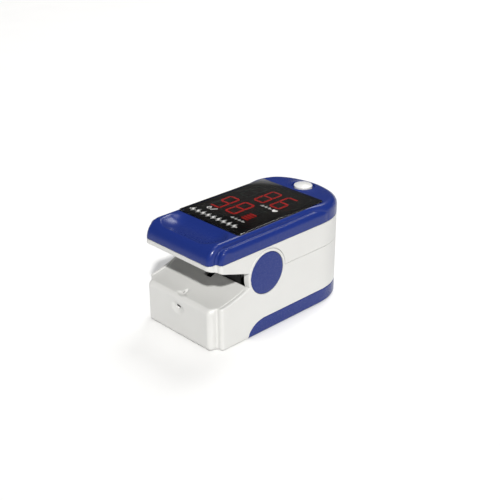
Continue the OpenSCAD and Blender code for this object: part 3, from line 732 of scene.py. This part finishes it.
def window_ring(inset, z):
    """One ring of the window's rounded outline."""
    r = WINDOW_CORNER - inset * 0.5
    low = (GLASS_LOW[0] + inset + r, GLASS_LOW[1] + inset + r)
    high = (GLASS_HIGH[0] - inset - r, GLASS_HIGH[1] - inset - r)
    corners = ((high[0], low[1], -90), (high[0], high[1], 0), (low[0], high[1], 90), (low[0], low[1], 180))
    arcs = [arc_points((cx, cy), r, a, a + 90, 8) for cx, cy, a in corners]
    return [(px, py, z) for arc in arcs for px, py in arc]


def add_window():
    """The dark window, with a small chamfer all round."""
    edge = WINDOW_EDGE
    rings = [window_ring(edge / 2, WINDOW_LOW.z), window_ring(0, WINDOW_LOW.z + edge / 2),
             window_ring(0, GLASS_TOP - edge), window_ring(edge * 0.3, GLASS_TOP - edge * 0.3),
             window_ring(edge, GLASS_TOP)]
    return stacked("dark_window", rings)


def add_button():
    """The white button: a flange under the cover, a short wall and a domed top."""
    dome_h = BUTTON_HIGH.z - DOME_Z
    flange_r = BUTTON_R + 0.6
    sphere_r = (BUTTON_R**2 + dome_h**2) / (2 * dome_h)
    profile = [(0, FLANGE_Z), (flange_r - 0.1, FLANGE_Z), (flange_r, FLANGE_Z + 0.1),
               (flange_r, FLANGE_Z + 0.5), (BUTTON_R, FLANGE_Z + 0.5), (BUTTON_R, DOME_Z - 0.15)]
    profile += arc_points((BUTTON_R - 0.3, DOME_Z - 0.15), 0.3, 0, 50, 6)
    start = BUTTON_R - 0.45
    for k in range(13):
        r = start * (12 - k) / 12
        profile.append((r, DOME_Z + dome_h - sphere_r + math.sqrt(sphere_r**2 - r**2)))
    return turned("button_dome", profile, BUTTON_STEPS, Matrix.Translation((0, BUTTON_Y, 0)))


# ---------- Hinge springs and cable, split where the jaw turns ----------
WIRE_R = 0.35
ARM_WIRE_R = WIRE_R * 0.985
WIRE_SIDES = 12
COIL_R = 2.1
SPRING_LOW, SPRING_HIGH = mm_box("torsion_spring_right")
SPRING_FOOT = (15.2, 13.75)
SPRING_HEAD = (11, 24.4)
FULL_TURNS = 5
OVERLAP = math.radians(22)
CABLE_HW = 2.0
CABLE_T = 0.2
CABLE_EDGE = 0.04
CABLE_LOWER = ((34, 13.37), (26, 13.37), (19, 13.4), (16.6, 13.9), (15.4, 15.4), (15.2, 17.9))
CABLE_UPPER = ((15.55, 17.5), (15.6, 21), (16.2, 23), (16.9, 24.3), (17, 25.4), (17, 26.2))


def swept(bm, path, section):
    """A closed bar along a path, its section given across and out of the path."""
    rings = []
    for k, point in enumerate(path):
        along = (path[min(k + 1, len(path) - 1)] - path[max(k - 1, 0)]).normalized()
        out = along.cross(Vector((1, 0, 0))).normalized()
        side = out.cross(along)
        rings.append([point + side * a + out * b for a, b in section])
    skinned(bm, rings)


def eased(path):
    """The path with its corners cut twice, for smooth bends."""
    for _ in range(2):
        middle = [a.lerp(b, t) for a, b in zip(path, path[1:]) for t in (0.25, 0.75)]
        path = [path[0], *middle, path[-1]]
    return path


def bars_piece(name, paths, section):
    """One piece of swept bars."""
    bm = bmesh.new()
    for path in paths:
        swept(bm, path, section)
    return finished(bm, name, 50)


def touching_angle(point, way):
    """Where on the coil a straight leg from the point touches it."""
    dy, dz = point[0] - HINGE_Y, point[1] - HINGE_Z
    return math.atan2(dz, dy) + way * math.acos(COIL_R / math.hypot(dy, dz))


def coil_points(start, end, first, last):
    """Points on the coil between two angles, for a spring that runs from first to last."""
    count = math.ceil((end - start) / math.radians(10))
    points = []
    for k in range(count + 1):
        a = start + (end - start) * k / count
        share = (a - first) / (last - first)
        x = SPRING_LOW.x + WIRE_R + share * (SPRING_HIGH.x - SPRING_LOW.x - 2 * WIRE_R)
        points.append(Vector((x, HINGE_Y + COIL_R * math.cos(a), HINGE_Z + COIL_R * math.sin(a))))
    return points


def both_sides(path):
    """The path and its mirror image on the other side."""
    return [path, [Vector((-p.x, p.y, p.z)) for p in path]]


def add_springs():
    """The coils stay on the axle; the arms turn with the jaw and overlap the coils' ends."""
    first = touching_angle(SPRING_FOOT, 1) % TURN
    last = touching_angle(SPRING_HEAD, -1) % TURN + FULL_TURNS * TURN
    coil = coil_points(first, last - OVERLAP / 10, first, last)
    arm = coil_points(last - OVERLAP, last, first, last)
    foot = Vector((coil[0].x, *SPRING_FOOT))
    head = Vector((arm[-1].x, *SPRING_HEAD))
    coils = bars_piece("spring_coils", both_sides([foot, *coil]), circle(WIRE_R, WIRE_SIDES))
    arms = bars_piece("spring_arms", both_sides([*arm, head]), circle(ARM_WIRE_R, WIRE_SIDES))
    dress(coils, "lower_body", "steel", "torsion_spring_left", "torsion_spring_right")
    dress(arms, "upper_jaw", "steel")


def add_cable():
    """The flexible cable in two lengths that slide past each other beside the hinge."""
    a, b, c = CABLE_HW, CABLE_T / 2, CABLE_EDGE
    half = [(a, c - b), (a, b - c), (a - c, b), (c - a, b)]
    section = half + [(-u, -v) for u, v in half]
    lower, upper = [eased([Vector((0, *p)) for p in path]) for path in (CABLE_LOWER, CABLE_UPPER)]
    dress(bars_piece("cable_lower", [lower], section), "lower_body", "flex_film", "flex_cable")
    dress(bars_piece("cable_upper", [upper], section), "upper_jaw", "flex_film")


# ---------- Materials ----------


def new_material(name):
    material = bpy.data.materials.new(name)
    material.use_nodes = True
    nodes = material.node_tree.nodes
    return material, nodes, material.node_tree.links, nodes["Principled BSDF"]


def noise(nodes, links, scale, detail=4.0, stretch=None):
    """A noise texture on object coordinates, so it needs no UVs."""
    place = nodes.new("ShaderNodeTexCoord")
    texture = nodes.new("ShaderNodeTexNoise")
    texture.inputs["Scale"].default_value = scale
    texture.inputs["Detail"].default_value = detail
    source = place.outputs["Object"]
    if stretch:
        mapping = nodes.new("ShaderNodeMapping")
        mapping.inputs["Scale"].default_value = stretch
        links.new(source, mapping.inputs["Vector"])
        source = mapping.outputs["Vector"]
    links.new(source, texture.inputs["Vector"])
    return texture.outputs["Fac"]


def spread(nodes, links, source, low, high, out_low, out_high):
    """Maps a value from one range to another."""
    node = nodes.new("ShaderNodeMapRange")
    node.inputs["From Min"].default_value = low
    node.inputs["From Max"].default_value = high
    node.inputs["To Min"].default_value = out_low
    node.inputs["To Max"].default_value = out_high
    links.new(source, node.inputs["Value"])
    return node.outputs["Result"]


def tinted(nodes, links, source, dark, light):
    """Mixes two colours by a value."""
    mix = nodes.new("ShaderNodeMix")
    mix.data_type = "RGBA"
    mix.inputs["A"].default_value = (*dark, 1)
    mix.inputs["B"].default_value = (*light, 1)
    links.new(source, mix.inputs["Factor"])
    return mix.outputs["Result"]


def bumped(nodes, links, source, shader, distance):
    """Raises the surface's grain by a distance in metres."""
    bump = nodes.new("ShaderNodeBump")
    bump.inputs["Distance"].default_value = distance
    links.new(source, bump.inputs["Height"])
    links.new(bump.outputs["Normal"], shader.inputs["Normal"])


def plastic(name, colour, rough, grain=6500.0, depth=0.000002, vary=0.04, coat=0.0, gloss=0.5):
    """Moulded plastic: a fine spark-eroded texture with slight changes of colour and gloss."""
    material, nodes, links, shader = new_material(name)
    broad = noise(nodes, links, 90.0)
    dark = [c * (1 - vary) for c in colour]
    light = [min(c * (1 + vary), 1) for c in colour]
    links.new(tinted(nodes, links, broad, dark, light), shader.inputs["Base Color"])
    fine = noise(nodes, links, grain, 3.0)
    links.new(spread(nodes, links, fine, 0.3, 0.7, rough * 0.85, rough * 1.15), shader.inputs["Roughness"])
    bumped(nodes, links, fine, shader, depth)
    shader.inputs["Specular IOR Level"].default_value = gloss
    shader.inputs["Coat Weight"].default_value = coat
    shader.inputs["Coat Roughness"].default_value = 0.15
    return material


def metal(name, colour, rough, stretch=(1, 1, 1)):
    """Drawn metal with streaks along its length."""
    material, nodes, links, shader = new_material(name)
    streaks = noise(nodes, links, 3500.0, 5.0, stretch)
    dark = [c * 0.86 for c in colour]
    links.new(tinted(nodes, links, streaks, dark, colour), shader.inputs["Base Color"])
    links.new(spread(nodes, links, streaks, 0.3, 0.7, rough * 0.8, rough * 1.3), shader.inputs["Roughness"])
    bumped(nodes, links, streaks, shader, 0.000004)
    shader.inputs["Metallic"].default_value = 1.0
    return material


def glowing(name, colour, strength):
    """A lit segment, its colour and glow varying with the grain of its diffuser."""
    material, nodes, links, shader = new_material(name)
    grain = noise(nodes, links, 1800.0)
    colours = tinted(nodes, links, grain, [c * 0.8 for c in colour], colour)
    links.new(colours, shader.inputs["Base Color"])
    links.new(colours, shader.inputs["Emission Color"])
    links.new(spread(nodes, links, grain, 0.3, 0.7, strength * 0.85, strength * 1.1),
              shader.inputs["Emission Strength"])
    shader.inputs["Roughness"].default_value = 0.4
    return material


def tinted_glass(name, colour, rough):
    """Clear or tinted acrylic with a slight haze."""
    material, nodes, links, shader = new_material(name)
    haze = noise(nodes, links, 700.0)
    dark = [c * 0.9 for c in colour]
    links.new(tinted(nodes, links, haze, dark, colour), shader.inputs["Base Color"])
    links.new(spread(nodes, links, haze, 0.3, 0.7, rough, rough * 2), shader.inputs["Roughness"])
    shader.inputs["Transmission Weight"].default_value = 1.0
    shader.inputs["IOR"].default_value = 1.47
    return material


def make_materials():
    """One material for each slot of the record."""
    return {
        "white_housing": plastic("white_abs", (0.61, 0.61, 0.597), 0.38),
        "blue_cover": plastic("blue_abs", (0.010, 0.025, 0.165), 0.26, gloss=0.32),
        "black_inner": plastic("black_abs", (0.006, 0.006, 0.0065), 0.5, gloss=0.3),
        "black_silicone": plastic("black_silicone_rubber", (0.014, 0.014, 0.015), 0.62,
                                  1500.0, 0.00002, 0.1),
        "window_tint": tinted_glass("tinted_acrylic", (0.42, 0.39, 0.37), 0.01),
        "sensor_window": tinted_glass("clear_acrylic", (0.9, 0.93, 0.95), 0.02),
        "button_white": plastic("white_gloss_abs", (0.68, 0.68, 0.67), 0.25, coat=0.2),
        "steel": metal("spring_steel", (0.72, 0.73, 0.75), 0.28, (1, 6, 6)),
        "circuit_board": plastic("solder_mask", (0.012, 0.11, 0.045), 0.35, 900.0, 0.00001, 0.2),
        "display_body": plastic("display_body", (0.045, 0.055, 0.047), 0.55, vary=0.25),
        "lit_red": glowing("lit_red", (0.85, 0.02, 0.012), 1.0),
        "unlit_grey": plastic("unlit_segment", (0.07, 0.13, 0.11), 0.4, vary=0.2),
        "chip_black": plastic("epoxy_black", (0.02, 0.02, 0.022), 0.55, 3200.0),
        "component_tan": plastic("ceramic_parts", (0.42, 0.33, 0.22), 0.5, vary=0.3),
        "connector_cream": plastic("cream_nylon", (0.66, 0.62, 0.50), 0.45),
        "led_package": plastic("pale_epoxy", (0.72, 0.70, 0.62), 0.25),
        "flex_film": plastic("flex_film", (0.05, 0.03, 0.02), 0.4, 1200.0, vary=0.3),
        "cell_sleeve": plastic("cell_sleeve", (0.42, 0.15, 0.03), 0.25, 600.0, 0.000004, 0.1, 0.5),
    }


# ---------- The numbers under the window ----------
STROKE = 0.5
BAR_STROKE = 0.44
SEGMENT_T = 0.12
DIGIT_W, DIGIT_H = 3.7, 8.2
NUMBERS = (((-9.2, 33.4), ""), ((-3.2, 33.4), "abcdefg"), ((3.2, 33.4), "acdefg"),
           ((-9.5, 21.9), "abcdfg"), ((-3.3, 21.9), "abcdefg"))
SEGMENT_ENDS = {"a": ((0, 2), (1, 2)), "b": ((1, 2), (1, 1)), "c": ((1, 1), (1, 0)), "d": ((0, 0), (1, 0)),
                "e": ((0, 1), (0, 0)), "f": ((0, 2), (0, 1)), "g": ((0, 1), (1, 1))}
BAR_X, BAR_Y, BAR_L, BAR_PITCH = 3.2, 21.9, 3.0, 1.1
LIT_BARS, UNLIT_BARS = 4, 5


def prism(bm, outline, z0, z1):
    """A flat piece of some thickness over an outline of x, y points."""
    skinned(bm, [[(px, py, z) for px, py in outline] for z in (z0, z1)])


def stroke(start, end, width):
    """A bar with pointed ends, as a display's segment is."""
    start, end = Vector(start), Vector(end)
    along = (end - start).normalized()
    side = Vector((-along.y, along.x)) * width / 2
    tip = along * width / 2
    start, end = start + along * 0.1, end - along * 0.1
    return [start, start + tip - side, end - tip - side, end, end - tip + side, start + tip + side]


def segment_piece(name, strokes, width):
    """One piece of display segments on the display's face."""
    bm = bmesh.new()
    low = mm_box("lit_segments")[0].z
    for start, end in strokes:
        prism(bm, stroke(start, end, width), low, low + SEGMENT_T)
    return finished(bm, name)


def digit_strokes(lit):
    """The segments of all the digits that are lit, or that are not."""
    strokes = []
    for (px, py), on in NUMBERS:
        for letter, ends in SEGMENT_ENDS.items():
            if (letter in on) == lit:
                strokes.append([(px + u * DIGIT_W, py + v * DIGIT_H / 2) for u, v in ends])
    return strokes


def bar_strokes(first, count):
    """Some of the level bars, counted from the lever end."""
    rows = [BAR_Y + BAR_PITCH * k for k in range(first, first + count)]
    return [((BAR_X, row), (BAR_X + BAR_L, row)) for row in rows]


def add_numbers():
    digits = segment_piece("lit_digits", digit_strokes(True), STROKE)
    dress(digits, "upper_jaw", "lit_red", "lit_segments")
    bars = segment_piece("lit_bars", bar_strokes(0, LIT_BARS), BAR_STROKE)
    dress(bars, "upper_jaw", "lit_red", "level_bars")
    unlit = digit_strokes(False) + bar_strokes(LIT_BARS, UNLIT_BARS)
    dress(segment_piece("unlit_digits", unlit, STROKE), "upper_jaw", "unlit_grey", "unlit_segments")


# ---------- Marks printed on the window ----------


def ribbon(bm, path, width, z0, z1):
    """A flat stroke of some thickness along a path of x, y points."""
    for a, b in zip(path, path[1:]):
        along = (Vector(b) - Vector(a)).normalized()
        side = Vector((-along.y, along.x)) * width / 2
        reach = along * width * 0.35
        base = [Vector(a) - reach + side, Vector(b) + reach + side,
                Vector(b) + reach - side, Vector(a) - reach - side]
        prism(bm, base, z0, z1)


def beats(x0, x1, y, height, count):
    """A pulse trace of some beats between x0 and x1."""
    pitch = (x1 - x0) / count
    shape = ((0.0, 0.0), (0.2, 0.0), (0.36, 1.0), (0.56, -0.55), (0.7, 0.3), (0.82, 0.0))
    path = [(x0 + pitch * (k + u), y + height * v) for k in range(count) for u, v in shape]
    return path + [(x1, y)]


def heart(x, y, size):
    """The outline of a heart."""
    turn = [TURN * k / 20 for k in range(20)]
    wide = size / 32
    return [(x + wide * 16 * math.sin(t) ** 3,
             y + wide * (13 * math.cos(t) - 5 * math.cos(2 * t) - 2 * math.cos(3 * t))) for t in turn]


def add_marks():
    bm = bmesh.new()
    low, high = GLASS_TOP + 0.004, GLASS_TOP + 0.02
    ribbon(bm, beats(-10.6, 8.7, 14.9, 1.45, 9), 0.44, low, high)
    drop = [(-7.9, 19.1), (-7.2, 20.0), (-6.5, 19.1), (-7.2, 18.4), (-7.9, 19.1)]
    ribbon(bm, drop, 0.3, low, high)
    ribbon(bm, [(-5.9, 18.4), (-4.6, 20.0)], 0.3, low, high)
    ribbon(bm, beats(2.3, 7.6, 18.9, 0.55, 4), 0.34, low, high)
    ribbon(bm, beats(2.3, 6.4, 30.9, 0.55, 3), 0.34, low, high)
    prism(bm, heart(7.9, 30.8, 1.9), low, high)
    return finished(bm, "window_marks")


# ---------- Assembly ----------
MATERIALS = make_materials()


def dress(piece, body, slot, *nodes):
    """Gives a new piece its body, slot and material, and says which nodes it stands for."""
    piece.data.materials.clear()
    piece.data.materials.append(MATERIALS[slot])
    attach(piece, body)
    if nodes:
        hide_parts(*nodes)


def dress_nodes():
    """Gives every CAD node that stays in view the material of its slot."""
    for part in frame["record"]["subparts"]:
        node = frame["nodes"][part["node"]]
        node.data.materials.clear()
        node.data.materials.append(MATERIALS[part["material_slot"]])
        node.data.shade_smooth()
        node.data.set_sharp_from_angle(angle=math.radians(35))


def build():
    dress_nodes()
    add_shells()
    right, left = add_hinge_caps()
    dress(right, "lower_body", "blue_cover", "hinge_cap_right")
    dress(left, "lower_body", "blue_cover", "hinge_cap_left")
    dress(add_window(), "upper_jaw", "window_tint", "display_window")
    dress(add_button(), "button", "button_white", "power_button")
    add_springs()
    add_cable()
    add_numbers()
    dress(add_marks(), "upper_jaw", "button_white")


# ---------- Camera, lights and floor ----------
CAMERA_PLACE = (0.18477, -0.18077, 0.14167)
CAMERA_AZIMUTH, CAMERA_ELEVATION = math.radians(45.68), math.radians(25.62)
CAMERA_LENS = 69.19
LIGHT_AIM = (0, 0, 0.015)
SUN_WIDTH = math.radians(3.2)
FLOOR_HALF = 40.0


def add_camera():
    """Looks at the object from the right front, about 26 degrees up."""
    data = bpy.data.cameras.new("camera")
    data.lens = CAMERA_LENS
    data.sensor_width = 36
    data.clip_start, data.clip_end = 0.01, 20
    camera = bpy.data.objects.new("camera", data)
    camera.location = CAMERA_PLACE
    camera.rotation_euler = (math.pi / 2 - CAMERA_ELEVATION, 0, CAMERA_AZIMUTH)
    bpy.context.scene.collection.objects.link(camera)
    bpy.context.scene.camera = camera


def add_light(name, place, size, power, colour=(1, 1, 1)):
    """A soft light that looks at the object's middle."""
    data = bpy.data.lights.new(name, "AREA")
    data.shape = "RECTANGLE"
    data.size, data.size_y = size
    data.energy = power
    data.color = colour
    light = bpy.data.objects.new(name, data)
    light.location = place
    light.rotation_euler = (Vector(LIGHT_AIM) - Vector(place)).to_track_quat("-Z", "Y").to_euler()
    bpy.context.scene.collection.objects.link(light)


def add_sun(name, towards, strength, colour):
    """An even light from one side, with slightly soft shadows."""
    data = bpy.data.lights.new(name, "SUN")
    data.angle = SUN_WIDTH
    data.energy = strength
    data.color = colour
    light = bpy.data.objects.new(name, data)
    light.rotation_euler = (-Vector(towards)).to_track_quat("-Z", "Y").to_euler()
    bpy.context.scene.collection.objects.link(light)


def add_studio():
    """A dim sky that is brighter at the horizon, a sun and three soft fills."""
    world = bpy.data.worlds.new("studio")
    world.use_nodes = True
    nodes, links = world.node_tree.nodes, world.node_tree.links
    place = nodes.new("ShaderNodeTexCoord")
    split = nodes.new("ShaderNodeSeparateXYZ")
    links.new(place.outputs["Generated"], split.inputs["Vector"])
    glow = spread(nodes, links, split.outputs["Z"], 0.02, 0.1, 0.6, 0.08)
    links.new(glow, nodes["Background"].inputs["Strength"])
    nodes["Background"].inputs["Color"].default_value = (0.97, 0.98, 1.0, 1)
    bpy.context.scene.world = world
    add_sun("key", (0.55, -0.45, 0.62), 3.4, (1.0, 0.99, 0.965))
    add_light("side_fill", (0.75, 0.15, 0.25), (0.5, 0.4), 0.5, (1.0, 0.99, 0.97))
    add_light("back_fill", (-0.22, 0.55, 0.85), (0.35, 0.35), 3.5)
    add_light("overhead", (0.05, 0.0, 0.9), (0.35, 0.35), 1.6)
    bpy.context.scene.view_settings.view_transform = "Standard"


def add_floor():
    """A wide pale floor at the height of the object's base."""
    side = FLOOR_HALF
    corners = [(-side, -side, 0), (side, -side, 0), (side, side, 0), (-side, side, 0)]
    mesh = mesh_of("floor", corners, [(0, 1, 2, 3)])
    floor = shown(mesh)
    material, nodes, links, shader = new_material("pale_floor")
    grain = noise(nodes, links, 40.0)
    paint = tinted(nodes, links, grain, (0.77, 0.77, 0.77), (0.80, 0.80, 0.80))
    links.new(paint, shader.inputs["Base Color"])
    shader.inputs["Roughness"].default_value = 0.7
    shader.inputs["Specular IOR Level"].default_value = 0.2
    shader.inputs["Emission Color"].default_value = (1, 1, 1, 1)
    shader.inputs["Emission Strength"].default_value = 0.07
    mesh.materials.append(material)


add_camera()
add_studio()
add_floor()
build()
